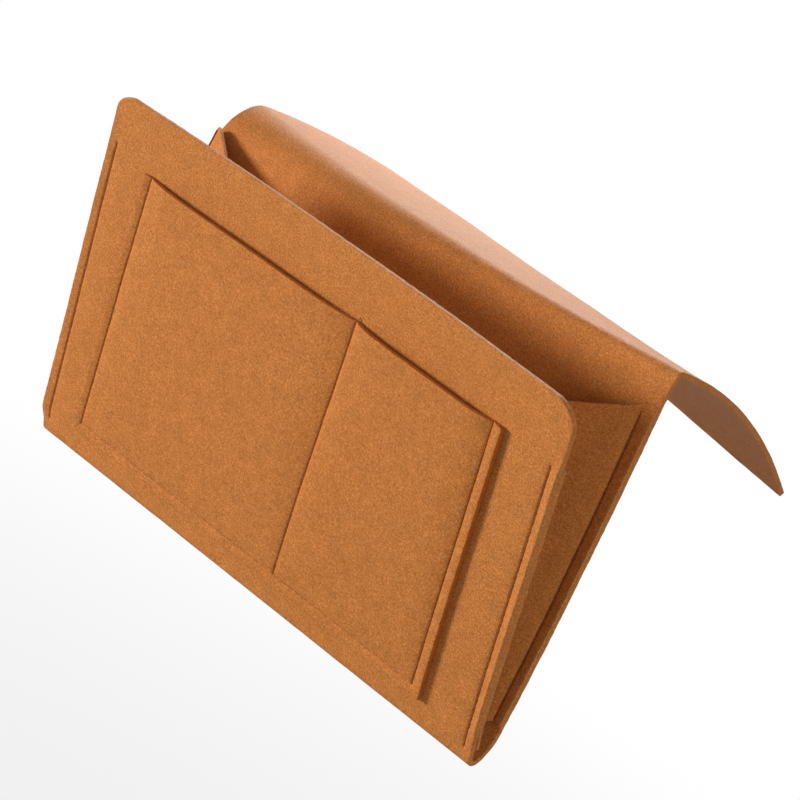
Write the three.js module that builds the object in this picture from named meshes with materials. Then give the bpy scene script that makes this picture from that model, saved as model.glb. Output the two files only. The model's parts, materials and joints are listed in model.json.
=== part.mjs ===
// A bedside caddy of thick felt, in millimetres, with +Z up and +Y towards the bed.
// One long felt sheet is the front panel, the bottom fold, the back panel and the flap that goes
// under the mattress. Folded gussets close the sides and a flat pocket is sewn on the front.
// The origin lies on the rear face of the back panel, at the middle of its width.
import * as THREE from 'three';
import { mergeVertices } from 'three/addons/utils/BufferGeometryUtils.js';

// Driving sizes of the body sheet
const panelWidth = 320;
const feltThickness = 3;
const frontHeight = 200;
const frontCornerRadius = 9;
const openingAngle = THREE.MathUtils.degToRad(20);
const foldInnerRadius = 2.5;
const foldClearAngle = THREE.MathUtils.degToRad(10);
const backHeight = 191;
const bedMountHeight = 100;

// Driving sizes of the flap, from its left end over its middle to its right end
const flapLength = 192;
const flapRise = [3, 7, 17];
const flapRollRadius = [14, 8, 4.5];
const flapRollAngle = [83, 82, 93].map(THREE.MathUtils.degToRad);
const flapDroopRadius = [410, 320, 370];

// Driving sizes of the gussets, along the panels from the fold
const gussetThickness = 2;
const seamInset = 6.5;
const gussetApexAngle = THREE.MathUtils.degToRad(19);
const gussetFrontStart = 10;
const gussetFrontEnd = 168;
const gussetRearStart = 28;
const gussetRearEnd = 189;
const creaseStart = 20;
const creaseEnd = 170;

// Driving sizes of the front pocket
const pocketThickness = 2.5;
const pocketLeftMargin = 28;
const pocketRightMargin = 32;
const pocketBottom = 12.5;
const pocketTop = 168.5;
const pocketFlange = 6;
const pocketBottomFlange = 7;
const dividerOffset = 24;
const pocketEase = 7;

// Driving sizes of the sewing thread
const stitchLength = 5;
const threadWidth = 0.8;
const threadValley = 0.3;
const threadCrown = 0.7;

// Clearance between pieces that touch, and the counts of steps along curved stretches
const gap = 0.3;
const foldSteps = 10;
const cornerSteps = 4;
const flapColumns = 8;
const rollSteps = 8;
const droopSteps = 8;
const easeColumns = 8;
const easeRows = 6;

// Sizes that follow from the driving ones
const foldOuterRadius = foldInnerRadius + feltThickness;
const foldCentre = new THREE.Vector3(0, -foldOuterRadius, foldOuterRadius);
const seamX = panelWidth / 2 - seamInset;
const seamStandoff = gap + gussetThickness / 2;
const leafAngle = Math.asin(Math.tan(openingAngle / 2) / Math.tan(gussetApexAngle));

const felt = (colour) => new THREE.MeshStandardMaterial({ color: colour, roughness: 0.95, metalness: 0 });
const bodyColour = 0xc17c48;
const gussetColour = 0xb57040;
const pocketColour = 0xbf7943;
const threadColour = 0x9c5e30;

// A closed piece from a grid of points on its two faces. Where a grid line has no thickness the
// faces meet in a sharp edge, and the triangles that vanish there are left out.
function closedPiece(rowCount, columnCount, pointAt) {
  const positions = [];
  for (const face of [0, 1]) {
    for (let row = 0; row < rowCount; row += 1) {
      for (let column = 0; column < columnCount; column += 1) {
        positions.push(...pointAt(row, column, face).toArray());
      }
    }
  }
  const at = (face, row, column) => (face * rowCount + row) * columnCount + column;
  const triangles = [];
  const quad = (a, b, c, d) => triangles.push([a, b, c], [a, c, d]);
  for (let row = 0; row + 1 < rowCount; row += 1) {
    for (let column = 0; column + 1 < columnCount; column += 1) {
      quad(at(0, row, column), at(0, row, column + 1), at(0, row + 1, column + 1), at(0, row + 1, column));
      quad(at(1, row, column), at(1, row + 1, column), at(1, row + 1, column + 1), at(1, row, column + 1));
    }
  }
  const rowSteps = Array.from({ length: rowCount - 1 }, (_, index) => index);
  const columnSteps = Array.from({ length: columnCount - 1 }, (_, index) => index);
  const rim = [
    ...columnSteps.map((step) => [0, step]),
    ...rowSteps.map((step) => [step, columnCount - 1]),
    ...columnSteps.map((step) => [rowCount - 1, columnCount - 1 - step]),
    ...rowSteps.map((step) => [rowCount - 1 - step, 0]),
  ];
  rim.forEach(([row, column], index) => {
    const [nextRow, nextColumn] = rim[(index + 1) % rim.length];
    quad(at(0, nextRow, nextColumn), at(0, row, column), at(1, row, column), at(1, nextRow, nextColumn));
  });

  const grid = new THREE.BufferGeometry();
  grid.setAttribute('position', new THREE.Float32BufferAttribute(positions, 3));
  grid.setIndex(triangles.flat());
  const geometry = mergeVertices(grid);
  const corners = geometry.getIndex().array;
  const kept = triangles
    .map((_, index) => [...corners.slice(3 * index, 3 * index + 3)])
    .filter(([a, b, c]) => a !== b && b !== c && c !== a);
  const outward = signedVolume(geometry, kept) > 0;
  geometry.setIndex(kept.flatMap(([a, b, c]) => (outward ? [a, b, c] : [a, c, b])));
  geometry.computeVertexNormals();
  return geometry;
}

function signedVolume(geometry, triangles) {
  const position = geometry.getAttribute('position');
  const corner = (index) => new THREE.Vector3().fromBufferAttribute(position, index);
  return triangles.reduce((sum, [a, b, c]) => sum + corner(a).dot(corner(b).cross(corner(c))), 0);
}

// A felt piece laid out by grid lines. Each line is a place along the piece and says whether the
// edge there is sharp, as at a bend, where both faces run together on the middle of the felt.
const line = (place, sharp = false) => ({ place, sharp });

function feltPiece(rows, columns, thickness, pointAt) {
  return closedPiece(rows.length, columns.length, (row, column, face) => {
    const sharp = rows[row].sharp || columns[column].sharp;
    const offset = sharp ? 0 : (face - 0.5) * thickness;
    return pointAt(columns[column].place, rows[row].place, offset);
  });
}

function addMesh(group, name, geometry, colour) {
  const mesh = new THREE.Mesh(geometry, felt(colour));
  mesh.name = name;
  group.add(mesh);
  return mesh;
}

const shares = (count) => Array.from({ length: count + 1 }, (_, index) => index / count);
const mix = THREE.MathUtils.lerp;

// Body sheet: the back panel stands upright behind the fold's centre and ends in the bend line
// of the flap.
function backPanel() {
  const rows = [
    line(foldCentre.z + gap),
    line(backHeight - (gap + feltThickness) / 2),
    line(backHeight - gap / 2, true),
  ];
  const columns = [line(-panelWidth / 2), line(panelWidth / 2)];
  return feltPiece(rows, columns, feltThickness, (x, z, offset) =>
    new THREE.Vector3(x, offset - feltThickness / 2, z));
}

// The fold turns from the back panel round the bottom towards the front panel. It stops short of
// it, so that the front panel can swing about the fold's centre.
function bottomFold() {
  const sweep = Math.PI - openingAngle - foldClearAngle;
  const rows = shares(foldSteps).map((share) => line(share * sweep));
  const columns = [line(-panelWidth / 2), line(panelWidth / 2)];
  const middleRadius = foldInnerRadius + feltThickness / 2;
  return feltPiece(rows, columns, feltThickness, (x, angle, offset) => {
    const radius = middleRadius + offset;
    const y = foldCentre.y + radius * Math.cos(angle);
    return new THREE.Vector3(x, y, foldCentre.z - radius * Math.sin(angle));
  });
}

// The front panel, in the frame that tilts about the fold's centre, with its two top corners round
function frontPanel() {
  const straight = panelWidth / 2 - frontCornerRadius;
  const turn = shares(cornerSteps).map((share) => share * Math.PI / 2);
  const rightPlaces = turn.map((angle) => straight + frontCornerRadius * Math.sin(angle));
  const leftPlaces = rightPlaces.map((place) => -place).reverse();
  const columns = [...leftPlaces, ...rightPlaces].map((place) => line(place));
  const rows = [line(0), line(1)];
  const top = frontHeight - foldOuterRadius;
  const middle = -(foldInnerRadius + feltThickness / 2);
  return feltPiece(rows, columns, feltThickness, (x, share, offset) => {
    const beyond = Math.max(0, Math.abs(x) - straight);
    const drop = frontCornerRadius - Math.sqrt(Math.max(0, frontCornerRadius ** 2 - beyond ** 2));
    return new THREE.Vector3(x, middle + offset, mix(gap, top - drop, share));
  });
}

// Flap profile at a share of the width: a short rise, a roll and a long gentle droop. The sizes
// change smoothly from the left end over the middle to the right end.
function alongWidth([left, middle, right], share) {
  const middlePart = 4 * share * (1 - share);
  return left * (1 - share) * (1 - 2 * share) + middle * middlePart + right * share * (2 * share - 1);
}

function onArc(x, centre, radius, angle) {
  return new THREE.Vector3(x, centre.x - radius * Math.cos(angle), centre.y + radius * Math.sin(angle));
}

function flapPoint(x, stage, offset) {
  const share = x / panelWidth + 0.5;
  const rise = alongWidth(flapRise, share);
  const outerRadius = alongWidth(flapRollRadius, share);
  const rollAngle = alongWidth(flapRollAngle, share);
  const droopRadius = alongWidth(flapDroopRadius, share);
  const droopLength = flapLength - rise - outerRadius * rollAngle;
  const inward = feltThickness / 2 + offset;
  const rollCentre = new THREE.Vector2(outerRadius - feltThickness, backHeight + rise);
  if (stage.part === 'rise') {
    return new THREE.Vector3(x, inward - feltThickness, backHeight + stage.height);
  }
  if (stage.part === 'roll') {
    return onArc(x, rollCentre, outerRadius - inward, stage.share * rollAngle);
  }
  const angle = rollAngle + stage.share * droopLength / droopRadius;
  const droopCentre = new THREE.Vector2(
    rollCentre.x + (droopRadius - outerRadius) * Math.cos(rollAngle),
    rollCentre.y - (droopRadius - outerRadius) * Math.sin(rollAngle),
  );
  return onArc(x, droopCentre, droopRadius - inward, angle);
}

function mattressFlap() {
  const rows = [
    line({ part: 'rise', height: gap / 2 }, true),
    line({ part: 'rise', height: (gap + feltThickness) / 2 }),
    ...shares(rollSteps).map((share) => line({ part: 'roll', share })),
    ...shares(droopSteps).slice(1).map((share) => line({ part: 'droop', share })),
  ];
  const columns = shares(flapColumns).map((share) => line((share - 0.5) * panelWidth));
  return feltPiece(rows, columns, feltThickness, flapPoint);
}

// Gusset flange: a narrow strip that lies on the inner face of a panel, from the seam outwards
// to the panel's side edge. It ends in a sharp edge where the leaf bends away from it.
function gussetFlange(side, start, end, middleY) {
  const rows = [line(start), line(end)];
  const columns = [
    line(seamX + gap / 2, true),
    line(seamX + (gap + gussetThickness) / 2),
    line(panelWidth / 2),
  ];
  return feltPiece(rows, columns, gussetThickness, (place, z, offset) =>
    new THREE.Vector3(side * place, middleY + offset, z));
}

// Gusset leaf: a flat piece from the seam to the crease, in a frame with its bend line along Z.
// The seam, the crease and the fold of the pouch all meet in one point, so it folds without strain.
function gussetLeaf(side, start, end) {
  const crease = (distance) => new THREE.Vector2(
    distance * Math.sin(gussetApexAngle),
    distance * Math.cos(gussetApexAngle),
  );
  const low = [new THREE.Vector2(gap / 2, start), crease(creaseStart)];
  const high = [new THREE.Vector2(gap / 2, end), crease(creaseEnd)];
  const rows = [line(0), line(1)];
  const columns = [line('bend', true), line('full'), line('crease')];
  return feltPiece(rows, columns, gussetThickness, (place, share, offset) => {
    const seamPoint = low[0].clone().lerp(high[0], share);
    const creasePoint = low[1].clone().lerp(high[1], share);
    const point = place === 'crease' ? creasePoint : seamPoint;
    if (place === 'full') point.x += gussetThickness / 2;
    return new THREE.Vector3(-side * point.x, offset, point.y);
  });
}

// Front pocket: a felt rectangle that stands a little off the front panel within each compartment,
// so that something flat can be pushed in, and lies on the panel along its seams.
const pocketLeftEdge = pocketLeftMargin - panelWidth / 2;
const pocketRightEdge = panelWidth / 2 - pocketRightMargin;
const pocketLeftSeam = pocketLeftEdge + pocketFlange;
const pocketRightSeam = pocketRightEdge - pocketFlange;
const pocketBottomSeam = pocketBottom + pocketBottomFlange;
const pocketFaceY = -(foldOuterRadius + gap + pocketThickness);

function easeAt(x, z) {
  const [from, to] = x < dividerOffset ? [pocketLeftSeam, dividerOffset] : [dividerOffset, pocketRightSeam];
  const across = THREE.MathUtils.clamp((x - from) / (to - from), 0, 1);
  const seamZ = pocketBottomSeam - foldOuterRadius;
  const up = THREE.MathUtils.clamp((z - seamZ) / (pocketTop - pocketBottomSeam), 0, 1);
  return pocketEase * (1 - (2 * across - 1) ** 4) * (1 - (1 - up) ** 3);
}

function frontPocket() {
  const within = (from, to) => shares(easeColumns).slice(1).map((share) => mix(from, to, share));
  const columns = [
    pocketLeftEdge,
    pocketLeftSeam,
    ...within(pocketLeftSeam, dividerOffset),
    ...within(dividerOffset, pocketRightSeam),
    pocketRightEdge,
  ].map((place) => line(place));
  const rows = [
    pocketBottom,
    ...shares(easeRows).map((share) => mix(pocketBottomSeam, pocketTop, share)),
  ].map((place) => line(place - foldOuterRadius));
  const middle = -(foldOuterRadius + gap + pocketThickness / 2);
  return feltPiece(rows, columns, pocketThickness, (x, z, offset) =>
    new THREE.Vector3(x, middle - easeAt(x, z) + offset, z));
}

// Sewing thread: one run of lock stitch along a path of corners in the X-Z plane. It lies just
// in front of the felt, low at each needle hole and proud at the middle of each stitch.
function seamThread(corners, faceY) {
  const stations = [];
  corners.slice(1).forEach((end, index) => {
    const start = corners[index];
    const half = Math.max(2, 2 * Math.round(start.distanceTo(end) / stitchLength));
    shares(half).slice(index ? 1 : 0).forEach((share) => stations.push(start.clone().lerp(end, share)));
  });
  const direction = (from, to) => to.clone().sub(from).normalize();
  return closedPiece(stations.length, 2, (row, column, face) => {
    const here = stations[row];
    const beforeRow = Math.max(0, row - 1);
    const afterRow = Math.min(row, stations.length - 2);
    const before = direction(stations[beforeRow], stations[beforeRow + 1]);
    const after = direction(stations[afterRow], stations[afterRow + 1]);
    const along = before.clone().add(after).normalize();
    const across = new THREE.Vector2(-along.y, along.x).multiplyScalar(threadWidth / 2 / along.dot(after));
    const place = here.clone().addScaledVector(across, column ? 1 : -1);
    const crown = row % 2 ? threadCrown : threadValley;
    const height = gap + (face ? crown : 0);
    return new THREE.Vector3(place.x, faceY - height, place.y);
  });
}

const upright = (x, from, to) => [new THREE.Vector2(x, from), new THREE.Vector2(x, to)];

// The caddy put together. What swings with the front panel sits in a group that tilts about the
// fold's centre, in which heights are measured from that centre.
const caddy = new THREE.Group();
caddy.position.z = -bedMountHeight;

addMesh(caddy, 'back_panel', backPanel(), bodyColour);
addMesh(caddy, 'bottom_fold', bottomFold(), bodyColour);
addMesh(caddy, 'mattress_flap', mattressFlap(), bodyColour);

const front = new THREE.Group();
front.position.copy(foldCentre);
front.rotation.x = openingAngle;
caddy.add(front);

addMesh(front, 'front_panel', frontPanel(), bodyColour);
addMesh(front, 'front_pocket', frontPocket(), pocketColour);

const rearFlangeY = -feltThickness - seamStandoff;
const rearSeamY = rearFlangeY - gussetThickness / 2;
const frontFlangeY = -foldInnerRadius + seamStandoff;
const fromCentre = (height) => height - foldOuterRadius;
const gussetFrontSpan = [gussetFrontStart, gussetFrontEnd].map(fromCentre);
const gussetRearSpan = [gussetRearStart, gussetRearEnd];

for (const [name, side] of [['left', -1], ['right', 1]]) {
  const frontFlange = gussetFlange(side, ...gussetFrontSpan, frontFlangeY);
  addMesh(front, `gusset_${name}_front_flange`, frontFlange, gussetColour);

  const frontLeaf = gussetLeaf(side, ...gussetFrontSpan);
  const frontLeafMesh = addMesh(front, `gusset_${name}_front_leaf`, frontLeaf, gussetColour);
  frontLeafMesh.position.set(side * seamX, frontFlangeY, 0);
  frontLeafMesh.rotation.z = -side * leafAngle;

  const rearFlange = gussetFlange(side, ...gussetRearSpan, rearFlangeY);
  addMesh(caddy, `gusset_${name}_rear_flange`, rearFlange, gussetColour);

  const rearLeaf = gussetLeaf(side, ...gussetRearSpan.map(fromCentre));
  const rearLeafMesh = addMesh(caddy, `gusset_${name}_rear_leaf`, rearLeaf, gussetColour);
  rearLeafMesh.position.set(side * seamX, rearFlangeY, foldCentre.z);
  rearLeafMesh.rotation.z = side * leafAngle;

  const stitchX = side * (seamX + threadWidth + gussetThickness / 2);
  const frontRun = upright(stitchX, ...gussetFrontSpan);
  addMesh(front, `seam_${name}_front`, seamThread(frontRun, -foldOuterRadius), threadColour);
  const rearRun = upright(stitchX, ...gussetRearSpan);
  addMesh(caddy, `seam_${name}_rear`, seamThread(rearRun, rearSeamY), threadColour);
}

const pocketSeamTop = fromCentre(pocketTop);
const pocketSeamBottom = fromCentre(pocketBottomSeam);
const edgeRun = [
  new THREE.Vector2(pocketLeftSeam, pocketSeamTop),
  new THREE.Vector2(pocketLeftSeam, pocketSeamBottom),
  new THREE.Vector2(pocketRightSeam, pocketSeamBottom),
  new THREE.Vector2(pocketRightSeam, pocketSeamTop),
];
addMesh(front, 'seam_pocket_edge', seamThread(edgeRun, pocketFaceY), threadColour);
const dividerRun = upright(dividerOffset, pocketSeamBottom + stitchLength / 2, pocketSeamTop);
addMesh(front, 'seam_pocket_divider', seamThread(dividerRun, pocketFaceY), threadColour);

export default caddy;
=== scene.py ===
import json
import math

import bpy
import numpy as np
from mathutils import Matrix, Vector


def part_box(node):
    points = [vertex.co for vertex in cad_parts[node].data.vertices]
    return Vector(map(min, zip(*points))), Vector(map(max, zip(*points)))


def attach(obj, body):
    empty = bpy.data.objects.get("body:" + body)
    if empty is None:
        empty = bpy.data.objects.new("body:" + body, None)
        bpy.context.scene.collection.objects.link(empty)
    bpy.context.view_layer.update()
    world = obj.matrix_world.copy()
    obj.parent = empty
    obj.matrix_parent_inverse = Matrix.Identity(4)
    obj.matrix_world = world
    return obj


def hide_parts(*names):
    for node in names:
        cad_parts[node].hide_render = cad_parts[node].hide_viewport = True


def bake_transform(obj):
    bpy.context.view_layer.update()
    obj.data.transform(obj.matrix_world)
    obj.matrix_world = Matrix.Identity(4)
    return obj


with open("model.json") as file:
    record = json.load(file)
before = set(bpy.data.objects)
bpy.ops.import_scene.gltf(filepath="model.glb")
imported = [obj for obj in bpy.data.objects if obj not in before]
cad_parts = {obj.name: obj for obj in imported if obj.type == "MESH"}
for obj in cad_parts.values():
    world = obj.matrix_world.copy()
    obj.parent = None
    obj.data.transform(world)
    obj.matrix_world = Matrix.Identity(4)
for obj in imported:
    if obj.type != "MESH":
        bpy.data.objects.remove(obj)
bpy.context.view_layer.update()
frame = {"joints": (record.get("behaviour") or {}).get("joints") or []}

# Camera
# A long lens looks at the caddy from the front and the right, a little above it. It is rolled, so
# that the caddy seems to stand on its lower right corner.
mm = 0.001
camera_place = Vector((0.6824, -1.0174, 0.2431))
camera_azimuth = math.radians(32.84)
camera_elevation = math.radians(10.27)
camera_roll = math.radians(28.45)
camera_lens = 112.5

forward = Vector((
    -math.sin(camera_azimuth) * math.cos(camera_elevation),
    math.cos(camera_azimuth) * math.cos(camera_elevation),
    -math.sin(camera_elevation),
))
level_right = Vector((math.cos(camera_azimuth), math.sin(camera_azimuth), 0))
level_up = level_right.cross(forward)
camera_right = level_right * math.cos(camera_roll) + level_up * math.sin(camera_roll)
camera_up = camera_right.cross(forward)
camera_turn = Matrix((camera_right, camera_up, -forward)).transposed().to_4x4()

camera_data = bpy.data.cameras.new("camera")
camera_data.lens = camera_lens
camera = bpy.data.objects.new("camera", camera_data)
bpy.context.scene.collection.objects.link(camera)
camera.matrix_world = Matrix.Translation(camera_place) @ camera_turn
bpy.context.scene.camera = camera
bpy.context.scene.view_settings.view_transform = "Standard"

# Studio
# A white room with a pale floor at the height of a real one below the bed's edge. One soft lamp
# stands at the left, one hangs above and behind, and a weak one and the room fill the shadows.
floor_drop = 0.45
floor_reach = 6.0
floor_shade = 0.4
floor_white_from = 0.5
floor_white_to = 1.6
floor_shadow_share = 0.22
room_light = 0.2
lamps = {
    "left_lamp": {"towards": (-0.79, -0.58, -0.045), "distance": 3.2, "size": 0.9, "power": 124},
    "top_lamp": {"towards": (-0.48, 0.70, 0.65), "distance": 1.4, "size": 0.5, "power": 20},
    "right_lamp": {"towards": (0.88, -0.42, 0.15), "distance": 1.5, "size": 0.8, "power": 6},
}


def node_tree(owner):
    owner.use_nodes = True
    tree = owner.node_tree
    tree.nodes.clear()

    def add(kind, inputs=None, **settings):
        node = tree.nodes.new(kind)
        for name, value in settings.items():
            setattr(node, name, value)
        for name, value in (inputs or {}).items():
            if isinstance(value, bpy.types.NodeSocket):
                tree.links.new(value, node.inputs[name])
            else:
                node.inputs[name].default_value = value
        return node

    return add


def seen_directly(add):
    rays = add("ShaderNodeLightPath")
    first = add("ShaderNodeMath", {0: rays.outputs["Is Camera Ray"], 1: rays.outputs["Is Glossy Ray"]},
                operation="MAXIMUM")
    return add("ShaderNodeMath", {0: first.outputs[0], 1: rays.outputs["Is Transmission Ray"]},
               operation="MAXIMUM").outputs[0]


world = bpy.data.worlds.new("white_room")
bpy.context.scene.world = world
add = node_tree(world)
filled = add("ShaderNodeBackground", {"Color": (1, 1, 1, 1), "Strength": room_light})
shown = add("ShaderNodeBackground", {"Color": (1, 1, 1, 1), "Strength": 1.0})
room = add("ShaderNodeMixShader", {0: seen_directly(add), 1: filled.outputs[0], 2: shown.outputs[0]})
add("ShaderNodeOutputWorld", {"Surface": room.outputs[0]})

floor_material = bpy.data.materials.new("pale_floor")
add = node_tree(floor_material)
position = add("ShaderNodeNewGeometry").outputs["Position"]
flat_position = add("ShaderNodeVectorMath", {0: position, 1: (1, 1, 0)}, operation="MULTIPLY")
away = add("ShaderNodeVectorMath", {0: flat_position.outputs[0]}, operation="LENGTH")
fade = add("ShaderNodeMapRange", {"Value": away.outputs["Value"], "From Min": floor_white_from,
                                  "From Max": floor_white_to, "To Min": 1 - floor_shadow_share, "To Max": 1},
           interpolation_type="SMOOTHSTEP")
white_share = add("ShaderNodeMath", {0: fade.outputs[0], 1: seen_directly(add)}, operation="MULTIPLY")
paint = add("ShaderNodeBsdfDiffuse", {"Color": (floor_shade, floor_shade, floor_shade, 1)})
glow = add("ShaderNodeEmission", {"Color": (1, 1, 1, 1), "Strength": 1.0})
floor_mix = add("ShaderNodeMixShader", {0: white_share.outputs[0], 1: paint.outputs[0], 2: glow.outputs[0]})
add("ShaderNodeOutputMaterial", {"Surface": floor_mix.outputs[0]})

floor_mesh = bpy.data.meshes.new("floor")
floor_corners = [(-1, -1), (1, -1), (1, 1), (-1, 1)]
floor_mesh.from_pydata([(x * floor_reach, y * floor_reach, -floor_drop) for x, y in floor_corners], [],
                       [(0, 1, 2, 3)])
floor = bpy.data.objects.new("floor", floor_mesh)
bpy.context.scene.collection.objects.link(floor)
floor_mesh.materials.append(floor_material)

for name, lamp in lamps.items():
    lamp_data = bpy.data.lights.new(name, "AREA")
    lamp_data.shape = "DISK"
    lamp_data.size = lamp["size"]
    lamp_data.energy = lamp["power"]
    lamp_object = bpy.data.objects.new(name, lamp_data)
    bpy.context.scene.collection.objects.link(lamp_object)
    towards = Vector(lamp["towards"]).normalized()
    lamp_object.location = towards * lamp["distance"]
    lamp_object.rotation_euler = towards.to_track_quat("Z", "Y").to_euler()

# Body sheet, front half
# One sheet of thick camel felt, cut square with two round corners. This half is the front panel,
# the fold at the bottom and the foot of the back panel. It is folded by hand and held by seams.
sheet_low, sheet_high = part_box("back_panel")
sheet_width = sheet_high.x - sheet_low.x
sheet_half = (sheet_high.y - sheet_low.y) / 2
fold_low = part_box("bottom_fold")[0]
joints = {joint["name"]: joint for joint in frame["joints"]}
fold_centre = Vector(joints["pouch_opening"]["pos_m"])
fold_radius = fold_centre.z - fold_low.z - sheet_half
opening_angle = math.radians(20)
front_length = 194.5 * mm
top_trim = (1.0 * mm, 1.7 * mm, 2.2 * mm)
corner_radii = {-1: 9 * mm, 1: 12 * mm}
foot_length = 14 * mm
arc_length = fold_radius * (math.pi - opening_angle)
seam_x = sheet_width / 2 - 4.6 * mm
pocket_left_seam = -126 * mm
pocket_right_seam = 122 * mm
pocket_divider = 24 * mm
pocket_bottom_seam = 16.5 * mm
pocket_top = 163 * mm
front_seam_bottom = 5 * mm
front_seam_tops = {-1: 167.5 * mm, 1: 160 * mm}

# Sewing draws the felt a little across, and soft felt bows, twists and leans between its seams.
drawn_lines = [-sheet_width / 2, -seam_x, pocket_left_seam, pocket_divider, pocket_right_seam, seam_x,
               sheet_width / 2]
drawn_fold = [shift * mm for shift in (-1.5, -1.4, -1.0, 0.0, 0.8, 1.6, 2.1)]
drawn_low = [shift * mm for shift in (-5.7, -3.6, -6.0, -3.7, -2.4, 0.5, 1.8)]
drawn_high = [shift * mm for shift in (-4.0, -2.7, 0.0, 2.4, -1.8, 0.6, 2.7)]
drawn_from = 10 * mm
front_bow = 4.7 * mm
front_twist = 5.3 * mm
side_flare = {-1: 0.3 * mm, 1: 1.6 * mm}
flare_past_seam = 10 * mm
flare_fade = 14 * mm
flare_from = 4 * mm
flare_full_from = 20 * mm
flare_limit = 1.2
wave_size = 0.5 * mm
wave_grain = 75 * mm
wave_fade = 60 * mm
lean_height = 195 * mm
left_lean = 6.0 * mm
right_lean = -10.0 * mm
left_belly = 0.6 * mm
right_belly = 5.0 * mm
foot_belly = 4.8 * mm
foot_belly_from = 15 * mm

edge_round = 0.45 * mm
edge_fray = 0.16 * mm
fray_grain = 1.6 * mm
top_trim_reach = 36 * mm
grid_step = 2.6 * mm
row_step = 1.25 * mm
least_step = 0.05 * mm
least_column = 0.15 * mm
seam_places = [offset * mm for offset in (0, 0.22, 0.45, 0.7, 1.05, 1.6, 2.4, 3.4)]
seam_groove = 0.95 * mm
seam_groove_width = 0.45 * mm
seam_pull = 0.4 * mm
seam_pull_width = 2.2 * mm
stitch_length = 5 * mm
lump_sizes = [(9 * mm, 0.10 * mm), (3.2 * mm, 0.05 * mm)]


def along_width(left_middle_right, share):
    left, centre, right = left_middle_right
    bulge = 4 * share * (1 - share)
    return left * (1 - share) * (1 - 2 * share) + centre * bulge + right * share * (2 * share - 1)


def soft_step(value, low, high):
    share = np.clip((value - low) / (high - low), 0, 1)
    return share * share * (3 - 2 * share)


def cloud(places, grain, seed):
    lattice_size = 64
    lattice = np.random.default_rng(seed).uniform(-1, 1, (lattice_size,) * 3)
    cell = places / grain
    base = np.floor(cell).astype(int)
    ease = cell - base
    ease = ease * ease * (3 - 2 * ease)
    total = np.zeros(places.shape[:-1])
    for corner in np.ndindex(2, 2, 2):
        weight = np.prod(np.where(corner, ease, 1 - ease), axis=-1)
        x, y, z = np.moveaxis((base + corner) % lattice_size, -1, 0)
        total += weight * lattice[x, y, z]
    return total


def drawn_across(u, height):
    share = np.clip((height - pocket_bottom_seam) / (pocket_top - pocket_bottom_seam), 0, 1)
    fold, low, high = (np.interp(u, drawn_lines, row) for row in (drawn_fold, drawn_low, drawn_high))
    return u + fold + (low + share * (high - low) - fold) * soft_step(height, 0, drawn_from)


def front_relief(u, height):
    up = np.clip(height / front_length, 0, 1)
    across = np.clip(2 * u / sheet_width, -1, 1)
    places = np.dstack([u, height + foot_length + arc_length, np.zeros_like(u)])
    waves = wave_size * cloud(places, wave_grain, 3) * soft_step(height, 0, wave_fade)
    flare = sum(size * np.clip((side * u - seam_x) / (sheet_width / 2 - seam_x), 0, flare_limit) ** 2
                * soft_step(front_seam_tops[side] + flare_past_seam - height, 0, flare_fade)
                for side, size in side_flare.items()) * soft_step(height, flare_from, flare_full_from)
    return waves + flare + front_twist * across * up - front_bow * up ** 2 * (1 - across ** 2)


def front_place(u, height, out):
    stand = fold_radius + out + front_relief(u, height)
    y = fold_centre.y - stand * math.cos(opening_angle) - height * math.sin(opening_angle)
    z = fold_centre.z - stand * math.sin(opening_angle) + height * math.cos(opening_angle)
    return np.dstack([drawn_across(u, height), y, z])


def back_lean(x, z):
    above = z - fold_low.z
    up = np.clip(above / lean_height, 0, 1)
    across = x / sheet_width + 0.5
    left = left_lean * up + left_belly * np.sin(math.pi * up)
    right = right_lean * up + right_belly * np.sin(math.pi * up)
    return left + across * (right - left) + foot_belly * (1 - up) * soft_step(above, 0, foot_belly_from)


def stations(low, high, step, lines=()):
    plain = np.linspace(low, high, round((high - low) / step) + 1)
    reach = seam_places[-1] + step / 3
    far = [place for place in plain if all(abs(place - line) > reach for line in lines)]
    close = [line + sign * offset for line in lines for offset in seam_places for sign in (-1, 1)]
    inside = [place for place in close if low < place < high]
    ordered = sorted({round(place, 6) for place in [low, high, *far, *inside]})
    return np.array([ordered[0]] + [b for a, b in zip(ordered, ordered[1:]) if b - a > least_step])


def seam_dent(distance, along):
    needle_hole = np.cos(math.pi * along / stitch_length) ** 8
    groove = seam_groove * (0.8 + 0.5 * needle_hole) * np.exp(-((distance / seam_groove_width) ** 2))
    return groove + seam_pull * np.exp(-((distance / seam_pull_width) ** 2))


def upright_seam(u, v, x, low, high):
    beyond = np.maximum(np.maximum(low - v, v - high), 0)
    return seam_dent(np.hypot(u - x, beyond), v - low)


def surface_normal(points):
    normal = np.cross(np.gradient(points, axis=1), np.gradient(points, axis=0))
    return normal / np.linalg.norm(normal, axis=-1, keepdims=True)


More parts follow.
